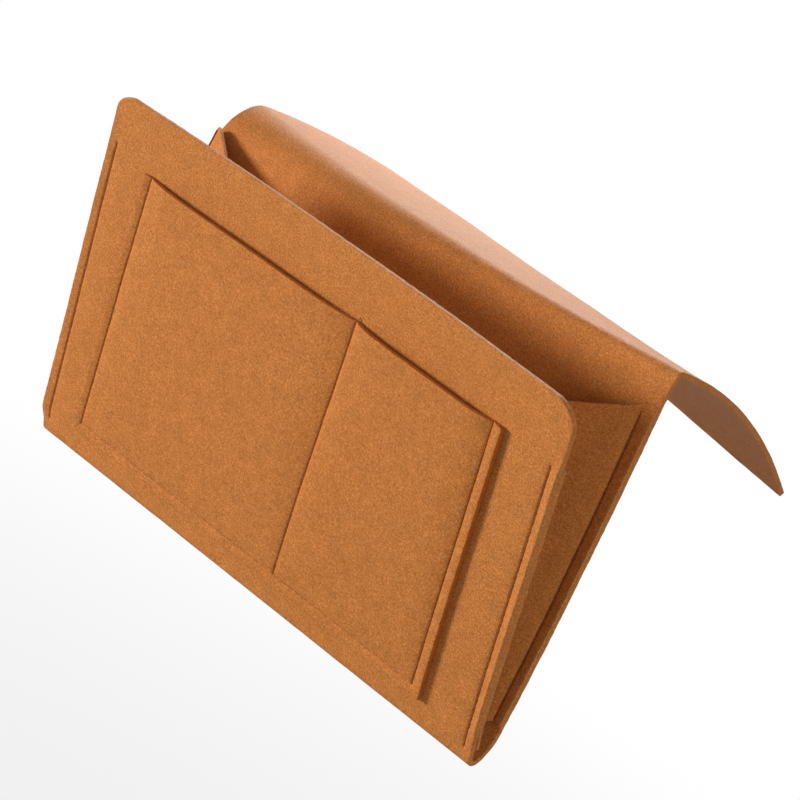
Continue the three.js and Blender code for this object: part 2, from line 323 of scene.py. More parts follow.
def felt_solid(name, flat, middle, half, dents, flush=(), seed=1):
    rows, columns = middle.shape[:2]
    normal = surface_normal(middle)
    rounding = min(edge_round, 0.7 * half)
    faces_height = []
    for index, (sign, dent) in enumerate(((1, dents[0]), (-1, dents[1]))):
        texture_place = np.dstack([flat, np.full(flat.shape[:2], sign * half)])
        lumps = sum(size * cloud(texture_place, grain, seed + 10 * index + number)
                    for number, (grain, size) in enumerate(lump_sizes))
        faces_height.append(half - dent + lumps)
    plus = middle + normal * faces_height[0][..., None]
    minus = middle - normal * faces_height[1][..., None]

    sides = [
        [(0, column) for column in range(columns - 1)],
        [(row, columns - 1) for row in range(rows - 1)],
        [(rows - 1, column) for column in range(columns - 1, 0, -1)],
        [(row, 0) for row in range(rows - 1, 0, -1)],
    ]
    side_names = ["start", "right", "end", "left"]
    loop = np.array([place for side in sides for place in side])
    segment_flush = np.array([side_names[index] in flush for index, side in enumerate(sides) for _ in side])
    before_flush = np.roll(segment_flush, 1)
    loop_middle = middle[loop[:, 0], loop[:, 1]]
    loop_normal = normal[loop[:, 0], loop[:, 1]]
    loop_flat = flat[loop[:, 0], loop[:, 1]]
    top = faces_height[0][loop[:, 0], loop[:, 1]]
    bottom = faces_height[1][loop[:, 0], loop[:, 1]]

    def outward_of(points, turn):
        ahead = np.roll(points, -1, axis=0) - points
        behind = points - np.roll(points, 1, axis=0)
        tangent = np.where(segment_flush[:, None], 0, ahead) + np.where(before_flush[:, None], 0, behind)
        outward = turn(tangent)
        length = np.linalg.norm(outward, axis=-1, keepdims=True)
        return outward / np.where(length > 1e-9, length, 1)

    outward = outward_of(loop_middle, lambda tangent: np.cross(tangent, loop_normal))
    outward_flat = outward_of(loop_flat, lambda tangent: np.stack([tangent[:, 1], -tangent[:, 0]], axis=-1))
    fray = edge_fray * cloud(np.column_stack([loop_flat, np.zeros(len(loop))]), fray_grain, seed + 5)
    angles = np.radians([30, 60, 90])
    profile = [(math.sin(angle), top - rounding * (1 - math.cos(angle))) for angle in angles]
    profile.append((1, (top - bottom) / 2))
    profile += [(math.sin(angle), rounding * (1 - math.cos(angle)) - bottom) for angle in angles[::-1]]
    rings, ring_flats = [], []
    for reach, height in profile:
        out = (rounding + fray)[:, None] * reach
        rings.append(loop_middle + outward * out + loop_normal * np.asarray(height)[:, None])
        ring_flats.append(np.column_stack([loop_flat + outward_flat * out, height]))

    count = rows * columns
    number = np.arange(count).reshape(rows, columns)
    corners = [number[:-1, :-1], number[:-1, 1:], number[1:, 1:], number[1:, :-1]]
    quads = np.stack([corner.ravel() for corner in corners], axis=-1)
    loop_number = number[loop[:, 0], loop[:, 1]]
    layers = [loop_number]
    layers += [2 * count + index * len(loop) + np.arange(len(loop)) for index in range(len(rings))]
    layers.append(loop_number + count)
    all_faces = [quads, quads[:, ::-1] + count]
    for upper, lower in zip(layers, layers[1:]):
        all_faces.append(np.stack([lower, np.roll(lower, -1), np.roll(upper, -1), upper], axis=-1))

    points = np.concatenate([plus.reshape(-1, 3), minus.reshape(-1, 3), *rings])
    face_flats = [np.dstack([flat, np.full(flat.shape[:2], sign * half)]).reshape(-1, 3) for sign in (1, -1)]
    places = np.concatenate([*face_flats, *ring_flats])
    # cut_edge marks the rounded cut edges. There the felt materials tint the colour: partly paler cut fibres,
    # partly painted light and shade.
    ring_cuts = [np.full(len(loop), reach ** 3) for reach, height in profile]
    cut = np.concatenate([np.zeros(2 * count), *ring_cuts])
    mesh = bpy.data.meshes.new(name)
    mesh.from_pydata(points.tolist(), [], np.concatenate(all_faces).tolist())
    mesh.shade_smooth()
    mesh.attributes.new("felt_place", "FLOAT_VECTOR", "POINT").data.foreach_set(
        "vector", places.astype(np.float32).ravel())
    mesh.attributes.new("cut_edge", "FLOAT", "POINT").data.foreach_set("value", cut.astype(np.float32))
    if flush:
        edges = np.empty(len(mesh.edges) * 2, int)
        mesh.edges.foreach_get("vertices", edges)
        edges = np.sort(edges.reshape(-1, 2), axis=1)
        wanted = set()
        for layer in (layers[0], layers[-1]):
            pairs = np.sort(np.stack([layer, np.roll(layer, -1)], axis=-1)[segment_flush], axis=1)
            wanted.update(map(tuple, pairs.tolist()))
        sharp = mesh.attributes.new("sharp_edge", "BOOLEAN", "EDGE")
        sharp.data.foreach_set("value", [tuple(edge) in wanted for edge in edges.tolist()])
    piece = bpy.data.objects.new(name, mesh)
    bpy.context.scene.collection.objects.link(piece)
    return piece


fibre_stretch = (440, 2000, 1500)
fibre_layers = ((1.15, 2), (2.2, 3))
clump_scale = 1250.0
clump_share_of_grain = 0.42
mottle_scale = 110.0
mottle_shades = (0.92, 1.08)
grain_stops = (0.12, 0.5, 0.88)
nap_depth = 0.28 * mm
nap_strength = 0.65
felt_roughness = 0.65
felt_gloss = 0.13
felt_gloss_tint = (1.0, 0.78, 0.45, 1)
fuzz_share = 0.05
fuzz_roughness = 0.5
fuzz_tint = (1.0, 0.7, 0.4, 1)


def felt_material(name, colour, pale, deep, edge_fibre_tone_and_painted_light):
    material = bpy.data.materials.new(name)
    add = node_tree(material)
    place = add("ShaderNodeAttribute", attribute_name="felt_place").outputs["Vector"]
    cut_edge = add("ShaderNodeAttribute", attribute_name="cut_edge").outputs["Fac"]

    def fibres(turn, seed):
        laid = add("ShaderNodeMapping", {"Vector": place, "Rotation": (0.3 * seed, 0.2, turn),
                                         "Location": (0.37 * seed, 0.11 * seed, 0.05)})
        drawn = add("ShaderNodeVectorMath", {0: laid.outputs[0], 1: fibre_stretch}, operation="MULTIPLY")
        return add("ShaderNodeTexNoise", {"Vector": drawn.outputs[0], "Scale": 1.0, "Detail": 3.0,
                                          "Roughness": 0.6, "Distortion": 0.9}).outputs[0]

    strands = fibres(0.2, 1)
    for turn, seed in fibre_layers:
        strands = add("ShaderNodeMath", {0: strands, 1: fibres(turn, seed)}, operation="ADD").outputs[0]
    clumps = add("ShaderNodeTexNoise", {"Vector": place, "Scale": clump_scale, "Detail": 3.0,
                                        "Roughness": 0.6, "Distortion": 0.6}).outputs[0]
    mottle = add("ShaderNodeTexNoise", {"Vector": place, "Scale": mottle_scale, "Detail": 4.0,
                                        "Roughness": 0.6}).outputs[0]
    strand_share = add("ShaderNodeMapRange", {"Value": strands, "From Min": 1.15, "From Max": 1.85})
    clump_share = add("ShaderNodeMapRange", {"Value": clumps, "From Min": 0.3, "From Max": 0.7})
    mottle_share = add("ShaderNodeMapRange", {"Value": mottle, "From Min": 0.3, "From Max": 0.7})
    grain = add("ShaderNodeMix", {0: clump_share_of_grain, 2: strand_share.outputs[0],
                                  3: clump_share.outputs[0]})
    fibre_colour = add("ShaderNodeValToRGB", {0: grain.outputs[0]})
    ramp = fibre_colour.color_ramp.elements
    ramp[0].color = (*deep, 1)
    ramp[0].position = grain_stops[0]
    ramp[1].color = (*pale, 1)
    ramp[1].position = grain_stops[2]
    ramp.new(grain_stops[1]).color = (*colour, 1)
    shade = add("ShaderNodeMapRange", {"Value": mottle_share.outputs[0], "To Min": mottle_shades[0],
                                       "To Max": mottle_shades[1]})
    shaded = add("ShaderNodeVectorMath", {0: fibre_colour.outputs[0], 1: shade.outputs[0]},
                 operation="MULTIPLY")
    # At the cut edges the colour is multiplied by the edge tint. It is paler on the body and gusset (partly
    # paler cut fibres, partly painted light) and darker on the pocket (painted shade).
    edge_colour_with_painted_light = add("ShaderNodeVectorMath", {0: shaded.outputs[0], 1: edge_fibre_tone_and_painted_light}, operation="MULTIPLY")
    tone = add("ShaderNodeMix", {0: cut_edge, 6: shaded.outputs[0], 7: edge_colour_with_painted_light.outputs[0]}, data_type="RGBA")
    nap = add("ShaderNodeBump", {"Height": grain.outputs[0], "Strength": nap_strength, "Distance": nap_depth})
    surface = add("ShaderNodeBsdfPrincipled", {
        "Base Color": tone.outputs[2], "Roughness": felt_roughness, "Specular IOR Level": felt_gloss,
        "Specular Tint": felt_gloss_tint, "Sheen Weight": fuzz_share, "Sheen Roughness": fuzz_roughness,
        "Sheen Tint": fuzz_tint, "Normal": nap.outputs[0],
    })
    add("ShaderNodeOutputMaterial", {"Surface": surface.outputs[0]})
    return material


felt_colour = (0.545, 0.188, 0.042)
felt_pale = (0.76, 0.312, 0.094)
felt_deep = (0.34, 0.0925, 0.0155)
# The body sheet's cut edges are a touch paler: partly paler cut fibres, partly painted light.
body_edge_pale_fibre_and_painted_light = (1.0, 1.04, 1.12)
body_felt = felt_material("body_felt", felt_colour, felt_pale, felt_deep, body_edge_pale_fibre_and_painted_light)

fold_steps = 14
foot_steps = 5
corner_steps = 7


def sheet_columns(lines):
    end = sheet_width / 2 - edge_round
    turns = np.radians(np.linspace(35, 90, corner_steps))
    corners = [side * (sheet_width / 2 - radius + (radius - edge_round) * np.sin(turns))
               for side, radius in corner_radii.items()]
    places = np.sort(np.concatenate([stations(-end, end, grid_step, lines), *corners]))
    return places[np.diff(places, append=np.inf) > least_column]


front_lines = [-seam_x, seam_x, pocket_left_seam, pocket_right_seam, pocket_divider]
columns = sheet_columns(front_lines)
panel_rows = stations(0, front_length - edge_round, row_step, [pocket_bottom_seam])
foot_rows = np.linspace(0, foot_length, foot_steps + 1)[:-1]
arc_rows = np.linspace(0, arc_length, fold_steps + 1)[:-1]
travel = np.concatenate([foot_rows, foot_length + arc_rows, foot_length + arc_length + panel_rows])
u, travelled = np.meshgrid(columns, travel)
drop = along_width(top_trim, u / sheet_width + 0.5)
for side, radius in corner_radii.items():
    beyond = np.maximum(side * u - (sheet_width / 2 - radius), 0)
    inner_corner = radius - edge_round
    drop += inner_corner - np.sqrt(np.maximum(inner_corner ** 2 - beyond ** 2, 0))
height = travelled - foot_length - arc_length
height = height - drop * soft_step(height, front_length - top_trim_reach, front_length)
turn = np.clip((travelled - foot_length) / fold_radius, 0, math.pi - opening_angle)
fold_z = fold_centre.z - fold_radius * np.sin(turn) + np.maximum(foot_length - travelled, 0)
lean_share = (1 + np.cos(turn)) / 2
fold_y = fold_centre.y + fold_radius * np.cos(turn) + back_lean(u, fold_z) * lean_share
fold_place = np.dstack([drawn_across(u, height), fold_y, fold_z])
middle = np.where(height[..., None] >= 0, front_place(u, height, 0), fold_place)
flat = np.dstack([u, travelled])
outer_dent = sum(upright_seam(u, height, side * seam_x, front_seam_bottom, front_seam_tops[side])
                 for side in (-1, 1))
inner_dent = sum(upright_seam(u, height, x, pocket_bottom_seam, pocket_top)
                 for x in (pocket_left_seam, pocket_right_seam, pocket_divider))
outside = np.maximum(np.maximum(pocket_left_seam - u, u - pocket_right_seam), 0)
inner_dent = np.maximum(inner_dent, seam_dent(np.hypot(height - pocket_bottom_seam, outside),
                                              u - pocket_left_seam))
front_sheet = felt_solid("front_felt", flat, middle, sheet_half, (outer_dent, inner_dent), flush=("start",))
front_sheet.data.materials.append(body_felt)
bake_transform(front_sheet)
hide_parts("front_panel", "bottom_fold")

# Body sheet, rear half
# The same sheet goes on up the back of the pouch and over a soft roll into the long flap that lies
# between mattress and bed base. Its left end rolls wide and its right end turns sharply.
roll_start = [177 * mm, 192.6 * mm, 207.4 * mm]
roll_radius = [30 * mm, 12 * mm, 4.8 * mm]
roll_angle = [math.radians(90.6), math.radians(83.7), math.radians(92.3)]
droop_bend = [0.98, 2.98, 3.0]
rear_length = 378.8 * mm
rear_seam_bottom = 17.5 * mm
rear_seam_top = 182.5 * mm
rear_seam_low_shift = -0.2 * mm
rear_seam_high_shift = {-1: 3.5 * mm, 1: -3.4 * mm}
rear_seam_reach = 12 * mm
rear_foot_reach = 10 * mm
rear_spread_height = 85 * mm
left_gather = 3.2 * mm
left_gather_height = 182 * mm
left_gather_reach = 26 * mm
split = fold_centre.z - fold_low.z + foot_length
back_top = roll_start[2] - (fold_centre.z - fold_low.z)
roll_steps = 26
droop_steps = 70


def rear_drawn(u, height):
    share = np.clip((height - rear_seam_bottom) / (rear_seam_top - rear_seam_bottom), 0, 1)
    top_shift = np.where(u < 0, rear_seam_high_shift[-1], rear_seam_high_shift[1])
    shift = rear_seam_low_shift + share * (top_shift - rear_seam_low_shift)
    shift = shift * soft_step(height, foot_length, rear_seam_bottom + rear_foot_reach)
    shift = shift * soft_step(back_top - height, 0, rear_seam_reach)
    near_seam = np.interp(abs(u), [seam_x - rear_seam_reach, seam_x, sheet_width / 2], [0, 1, 0])
    spread_share = np.clip(1 - (height - foot_length) / rear_spread_height, 0, 1)
    spread = np.interp(u, drawn_lines, drawn_fold) * spread_share
    gather = left_gather * np.exp(-((height - left_gather_height) / left_gather_reach) ** 2)
    gather = gather * np.clip(-2 * u / sheet_width, 0, 1) ** 8
    return u + np.sign(u) * shift * near_seam + spread + gather


def rear_relief(u, height):
    travelled = height + fold_centre.z - fold_low.z
    waves = wave_size * cloud(np.dstack([u, travelled, np.zeros_like(u)]), wave_grain, 8)
    return back_lean(u, height + fold_centre.z) - waves * soft_step(travelled, split, split + wave_fade)


def rear_place(u, height, out):
    y = out - sheet_half + rear_relief(u, height)
    return np.dstack([rear_drawn(u, height), y, height + fold_centre.z])


columns = stations(edge_round - sheet_width / 2, sheet_width / 2 - edge_round, grid_step, [-seam_x, seam_x])
width_share = columns / sheet_width + 0.5
start, radius, angle, bend = (along_width(values, width_share)
                              for values in (roll_start, roll_radius, roll_angle, droop_bend))
back_steps = round((roll_start[1] - split) / row_step)
rows = []
for share in np.linspace(0, 1, back_steps + 1)[:-1]:
    length = split + share * (start - split)
    rows.append((columns, length, 0 * columns - sheet_half, length))
for share in np.linspace(0, 1, roll_steps + 1)[:-1]:
    turned = share * angle
    reach = radius - sheet_half
    rows.append((columns, start + radius * turned, radius - 2 * sheet_half - reach * np.cos(turned),
                 start + reach * np.sin(turned)))
droop = rear_length - edge_round - start - radius * angle
for share in np.linspace(0, 1, droop_steps + 1):
    turned = angle + share * droop * bend
    reach = 1 / bend - sheet_half
    centre_y = radius - 2 * sheet_half + (1 / bend - radius) * np.cos(angle)
    centre_z = start - (1 / bend - radius) * np.sin(angle)
    rows.append((columns, start + radius * angle + share * droop, centre_y - reach * np.cos(turned),
                 centre_z + reach * np.sin(turned)))
u, travelled, y, z = (np.array([row[index] for row in rows]) for index in range(4))
flat = np.dstack([u, travelled])
seam_height = travelled - (fold_centre.z - fold_low.z)
middle = np.dstack([rear_drawn(u, seam_height), y + back_lean(u, z + fold_low.z), z + fold_low.z])
waves = cloud(np.dstack([flat, np.zeros_like(u)]), wave_grain, 8)
wave_share = wave_size * soft_step(travelled, split, split + wave_fade)
middle = middle + surface_normal(middle) * (waves * wave_share)[..., None]
rear_dent = sum(upright_seam(u, seam_height, side * seam_x, rear_seam_bottom, rear_seam_top)
                for side in (-1, 1))
rear_sheet = felt_solid("back_felt", flat, middle, sheet_half, (0 * rear_dent, rear_dent), flush=("start",),
                        seed=4)
rear_sheet.data.materials.append(body_felt)
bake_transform(rear_sheet)
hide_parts("back_panel", "mattress_flap")

# Gussets
# A strip of thinner felt closes each side. It is sewn flat on the back panel and on the front
# panel, and folded inwards along its middle, so that the pouch can open and fold flat.
gusset_colour = (0.50, 0.17, 0.037)
gusset_pale = (0.69, 0.273, 0.078)
gusset_deep = (0.31, 0.082, 0.014)
# The gusset's cut edges are paler: partly paler cut fibres, partly painted light for edges that catch more
# light than the shaded leaves.
gusset_edge_pale_fibre_and_painted_light = (1.15, 1.25, 1.5)
gusset_half = 1 * mm
gusset_gap = 0.12 * mm
gusset_seam_depth = 1.2
gusset_seam_margins = (1.5 * mm, 3.5 * mm)
flange_step = 0.5 * mm
gusset_apex = math.radians(19)
front_spans = {-1: (4.5 * mm, 166.5 * mm), 1: (4.5 * mm, 161 * mm)}
rear_span = (16.5 * mm, 183.5 * mm)
crease_span = (15 * mm, 170 * mm)
bend_reach = 1.2 * mm
crease_radius = 1.7 * mm
leaf_bulge = 1.2 * mm
rear_flange_rise = {-1: -3 * mm, 1: 3.6 * mm}
front_flange_overhang = {-1: 0 * mm, 1: 0.4 * mm}
gusset_rows = 130
leaf_steps = 20
gusset_bend_x = sheet_width / 2 - 6.6 * mm
leaf_angle = math.asin(math.tan(opening_angle / 2) / math.tan(gusset_apex))
crease_lean = math.asin(math.sin(leaf_angle) * math.cos(gusset_apex) * math.cos(opening_angle / 2)
                        + math.sin(gusset_apex) * math.sin(opening_angle / 2))
crease_turn = math.pi / 2 - crease_lean
crease_back = crease_radius * math.tan(crease_turn) / math.cos(gusset_apex)
leaf_rise = fold_radius - sheet_half - gusset_gap - gusset_half
bend_back = leaf_rise / math.sin(leaf_angle)
bend_inset = leaf_rise / math.tan(leaf_angle)
leaf_start = bend_reach - bend_back
gusset_felt = felt_material("gusset_felt", gusset_colour, gusset_pale, gusset_deep, gusset_edge_pale_fibre_and_painted_light)


def bend_over(reach):
    roll = 2 * bend_reach / leaf_angle
    along = reach + bend_back
    turned = np.clip((along + bend_reach) / roll, 0, leaf_angle)
    past = np.maximum(along - bend_reach, 0)
    sideways = roll * np.sin(turned) - bend_reach + np.minimum(along + bend_reach, 0) - bend_inset
    away = roll * (1 - np.cos(turned))
    return sideways + past * math.cos(leaf_angle), away + past * math.sin(leaf_angle)


def crease_arc(edge, turns, past=0.0):
    inward = np.array([math.cos(gusset_apex) * math.cos(leaf_angle),
                       math.cos(gusset_apex) * math.sin(leaf_angle), -math.sin(gusset_apex)])
    leaf_normal = np.array([-math.sin(leaf_angle), math.cos(leaf_angle), 0])
    turns = np.asarray(turns)[None, :, None]
    past = np.asarray(past)[..., None]
    ahead = crease_radius * np.sin(turns) + past * np.cos(turns)
    aside = crease_radius * (1 - np.cos(turns)) + past * np.sin(turns)
    return edge + ahead * inward + aside * leaf_normal


def gusset_place(side, rear, points, crease_share):
    sideways, away, height = np.moveaxis(points, -1, 0)
    base_u = side * (gusset_bend_x - np.minimum(sideways, 0))
    seam_height = height + 0 * base_u
    depth = sheet_half + gusset_gap + gusset_half + away
    x = side * (gusset_bend_x - sideways)
    front_way = np.array([0, -math.cos(opening_angle), -math.sin(opening_angle)])
    front_shift = front_relief(base_u, seam_height)[..., None] * front_way
    back_shift = rear_relief(base_u, seam_height)[..., None] * np.array([0, 1, 0])
    own = 1 - 0.5 * crease_share[..., None]
    if rear:
        x = x + (rear_drawn(base_u, seam_height) - base_u) * (1 - crease_share)
        place = np.dstack([x, -sheet_half - depth, height + fold_centre.z])
        return place + own * back_shift + (1 - own) * front_shift
    x = x + (drawn_across(base_u, seam_height) - base_u) * (1 - crease_share)
    flat_y = depth - fold_radius
    y = fold_centre.y + flat_y * math.cos(opening_angle) - height * math.sin(opening_angle)
    z = fold_centre.z + flat_y * math.sin(opening_angle) + height * math.cos(opening_angle)
    return np.dstack([x, y, z]) + own * front_shift + (1 - own) * back_shift


def crease_edge(start, end):
    share = np.linspace(0, 1, gusset_rows + 1)[:, None]
    seam_height = start + edge_round + share * (end - start - 2 * edge_round)
    crease = crease_span[0] + edge_round + share * (crease_span[1] - crease_span[0] - 2 * edge_round)
    crease_out = crease * math.sin(gusset_apex)
    reach = crease_out - crease_back
    height = crease * math.cos(gusset_apex)
    return share, seam_height, crease, crease_out, np.dstack([*bend_over(reach), height]), reach


def turned_round(flip, grids):
    return [grid[:, ::-1] for grid in grids] if flip else grids


def gusset_half_piece(name, side, rear, start, end):
    share, seam_height, crease, crease_out, edge, last_reach = crease_edge(start, end)
    bend_slack = bend_back - bend_inset
    flange_width = sheet_width / 2 - gusset_bend_x - edge_round + bend_slack
    flange_width += 0 if rear else front_flange_overhang[side]
    seam_reach = seam_x - gusset_bend_x + bend_slack
    near = stations(-flange_width, leaf_start, flange_step, [-seam_reach])[None, :-1]
    leaf_share = np.linspace(0, 1, leaf_steps + 1)[None, :]
    leaf_reach = leaf_start + leaf_share * (last_reach - leaf_start)
    leaf_height = seam_height + (crease * math.cos(gusset_apex) - seam_height) * leaf_share
    reach = np.hstack([near + 0 * share, leaf_reach])
    height = np.hstack([seam_height + 0 * near, leaf_height])
    if rear:
        height = height + rear_flange_rise[side] * share ** 8 * np.clip(-reach / flange_width, 0, 1)
    sideways, away = bend_over(reach)
    crease_share = np.clip(reach / crease_out, 0, 1)
    bulge = leaf_bulge * np.sin(math.pi * crease_share) ** 2
    leaf_points = np.dstack([sideways + bulge * math.sin(leaf_angle), away - bulge * math.cos(leaf_angle),
                             height])
    turns = np.linspace(0, crease_turn, 7)[1:]
    points = np.concatenate([leaf_points, crease_arc(edge, turns)], axis=1)
    flat_u = np.hstack([reach, last_reach + crease_radius * turns[None, :]])
    flat_v = np.hstack([height, edge[:, :, 2] + 0 * turns[None, :]])
    crease_share = np.hstack([crease_share, np.ones((len(share), len(turns)))])
    middle = gusset_place(side, rear, points, crease_share)
    dent = gusset_seam_depth * upright_seam(flat_u, flat_v, -seam_reach, start + gusset_seam_margins[0],
                                            end - gusset_seam_margins[1])
    flip = side * (1 if rear else -1) < 0
    middle, flat, dent = turned_round(flip, [middle, np.dstack([side * flat_u, flat_v]), dent])
    return felt_solid(name, flat, middle, gusset_half, (0 * dent, dent), flush=("left" if flip else "right",),
                      seed=20 + 3 * side)


for side, side_name in ((-1, "left"), (1, "right")):
    for place, panel in (("front", "front"), ("rear", "back")):
        seam_start, seam_end = rear_span if place == "rear" else front_spans[side]
        half_gusset = gusset_half_piece(f"gusset_felt_{side_name}_{place}", side, place == "rear",
                                        seam_start, seam_end)
        half_gusset.data.materials.append(gusset_felt)
        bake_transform(half_gusset)
        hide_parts(f"gusset_{side_name}_{place}_flange", f"gusset_{side_name}_{place}_leaf")
        flange_end = gusset_bend_x - sheet_width / 2
        cut = [(flange_end, seam_start), (0, seam_start)]
        cut += [(reach * math.sin(gusset_apex), reach * math.cos(gusset_apex)) for reach in crease_span]
        cut += [(0, seam_end), (flange_end, seam_end)]

# Creases of the gussets
# Each strip runs on unbroken through its fold. The middle layer of its felt shows there as a thin
# tongue when the leaves draw apart, so it is a piece of its own that stays with the rear leaf.
tongue_half = 0.35 * mm
tongue_root = 4.6 * mm
tongue_past_share = 0.024

for side, side_name in ((-1, "left"), (1, "right")):
    _, _, crease, _, edge, _ = crease_edge(*rear_span)
    turns = np.concatenate([np.zeros(3), np.linspace(0, 2 * crease_turn, 15), np.full(4, 2 * crease_turn)])
    steps = np.concatenate([np.linspace(-tongue_root, 0, 4)[:-1], np.zeros(15), np.linspace(0, 1, 5)[1:]])
    past = np.where(steps > 0, steps * tongue_past_share * crease, steps)
    points = crease_arc(edge, turns, past)
    flat_u = crease_radius * turns[None, :] + past
    middle = gusset_place(side, True, points, 0 * flat_u + 1)
    flat = np.dstack([flat_u, crease + 0 * flat_u])
    middle, flat = turned_round(side < 0, [middle, flat])
    none = np.zeros(flat.shape[:2])
    tongue = felt_solid(f"gusset_crease_{side_name}", flat, middle, tongue_half, (none, none), seed=50 + side)
    tongue.data.materials.append(gusset_felt)
    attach(tongue, f"{side_name}_rear_leaf")

# Front pocket
# A rectangle of felt sewn flat on the front panel along three sides, with one seam up its face
# that parts it into a wide and a narrow compartment. Its top edge stays open.
pocket_colour = (0.535, 0.181, 0.04)
pocket_pale = (0.74, 0.302, 0.09)
pocket_deep = (0.33, 0.0895, 0.015)
# The pocket's cut edges are darkened all round: painted shade for the shadowed crevice between the pocket and
# the panel at its mouth.
pocket_edge_painted_shade = (0.72, 0.52, 0.3)
pocket_half = 1.25 * mm
pocket_gap = 0.15 * mm
pocket_ease = 2.6 * mm
pocket_edges = (-131.5 * mm, 128 * mm)
pocket_bottom = 11 * mm
pocket_edge_lift = 0.5 * mm
pocket_mouth = 1.2 * mm
pocket_mouth_reach = 14 * mm
pocket_side_lift_reach = 6 * mm
pocket_foot_lift_reach = 7 * mm
pocket_foot_lift_share = 0.4
pocket_level_seam_depth = 0.7
pocket_felt = felt_material("pocket_felt", pocket_colour, pocket_pale, pocket_deep, pocket_edge_painted_shade)


def ease_in(x, height):
    ease = np.zeros_like(x)
    for left, right in ((pocket_left_seam, pocket_divider), (pocket_divider, pocket_right_seam)):
        share = np.clip((x - left) / (right - left), 0, 1)
        ease = np.maximum(ease, 1 - (2 * share - 1) ** 6)
    inside = (x > pocket_left_seam) & (x < pocket_right_seam)
    up = np.clip((height - pocket_bottom_seam) / (pocket_top - pocket_bottom_seam), 0, 1)
    mouth = pocket_mouth * soft_step(height, pocket_top - pocket_mouth_reach, pocket_top)
    return np.where(inside, ease * (pocket_ease * (1 - (1 - up) ** 3) + mouth), 0)


columns = stations(pocket_edges[0] + edge_round, pocket_edges[1] - edge_round, grid_step,
                   [pocket_left_seam, pocket_right_seam, pocket_divider])
heights = stations(pocket_bottom + edge_round, pocket_top - edge_round, row_step, [pocket_bottom_seam])
u, height = np.meshgrid(columns, heights)
side_lift = (soft_step(pocket_left_seam - u, 0, pocket_side_lift_reach)
             + soft_step(u - pocket_right_seam, 0, pocket_side_lift_reach))
foot_lift = soft_step(pocket_bottom_seam - height, 0, pocket_foot_lift_reach)
edge_lift = pocket_edge_lift * (side_lift + pocket_foot_lift_share * foot_lift)
stand_off = pocket_gap + pocket_half + ease_in(u, height) + edge_lift
dent = sum(upright_seam(u, height, x, pocket_bottom_seam, pocket_top)
           for x in (pocket_left_seam, pocket_right_seam, pocket_divider))
outside = np.maximum(np.maximum(pocket_left_seam - u, u - pocket_right_seam), 0)
level_dent = seam_dent(np.hypot(height - pocket_bottom_seam, outside), u - pocket_left_seam)
dent = np.maximum(dent, pocket_level_seam_depth * level_dent)
middle = front_place(u, height, sheet_half + stand_off)
pocket = felt_solid("pocket_felt_piece", np.dstack([u, height]), middle, pocket_half, (dent, 0 * dent),
                    seed=31)
pocket.data.materials.append(pocket_felt)
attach(pocket, "front")
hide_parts("front_pocket")

# Seam threads
# Six runs of lock stitch in camel sewing thread hold the felt together. Each stitch is pulled down
# into its groove, so that mostly the groove and the needle holes show, on both faces of a seam.
thread_radius = 0.24 * mm
thread_sink = 0.95 * mm
thread_dive = 0.75 * mm
thread_sides = 8
thread_rings = 11
thread_twist_length = 1.1 * mm
# Both thread colours are darker than the camel felt, as painted shade of the groove the thread lies in. The
# twist turns between them as painted shade between the plies.
thread_ply_groove_painted_shade = (0.20, 0.055, 0.012, 1)
thread_ply_ridge_shaded = (0.38, 0.125, 0.03, 1)
thread_ply_depth = 0.12 * mm
thread_end_size = 0.45
thread_dive_steepness = 2.4
stitch_gap_share = 0.06

sewing_thread = bpy.data.materials.new("sewing_thread")
add = node_tree(sewing_thread)
thread_place = add("ShaderNodeAttribute", attribute_name="thread_place").outputs["Vector"]
ply = add("ShaderNodeSeparateXYZ", {0: thread_place})
turned = add("ShaderNodeMath", {0: ply.outputs["X"], 1: 2 * math.pi / thread_twist_length},
             operation="MULTIPLY")
sine = add("ShaderNodeMath", {0: turned.outputs[0]}, operation="SINE")
cosine = add("ShaderNodeMath", {0: turned.outputs[0]}, operation="COSINE")
first = add("ShaderNodeMath", {0: sine.outputs[0], 1: ply.outputs["Y"]}, operation="MULTIPLY")
helix = add("ShaderNodeMath", {0: cosine.outputs[0], 1: ply.outputs["Z"], 2: first.outputs[0]},
            operation="MULTIPLY_ADD")
ply_share = add("ShaderNodeMapRange", {"Value": helix.outputs[0], "From Min": -1.0, "From Max": 1.0})
ply_colour = add("ShaderNodeValToRGB", {0: ply_share.outputs[0]})
ply_colour.color_ramp.elements[0].color = thread_ply_groove_painted_shade
ply_colour.color_ramp.elements[1].color = thread_ply_ridge_shaded
ply_bump = add("ShaderNodeBump", {"Height": ply_share.outputs[0], "Strength": 0.6,
                                  "Distance": thread_ply_depth})
surface = add("ShaderNodeBsdfPrincipled", {
    "Base Color": ply_colour.outputs[0], "Roughness": 0.7, "Specular IOR Level": 0.3,
    "Normal": ply_bump.outputs[0],
})
add("ShaderNodeOutputMaterial", {"Surface": surface.outputs[0]})


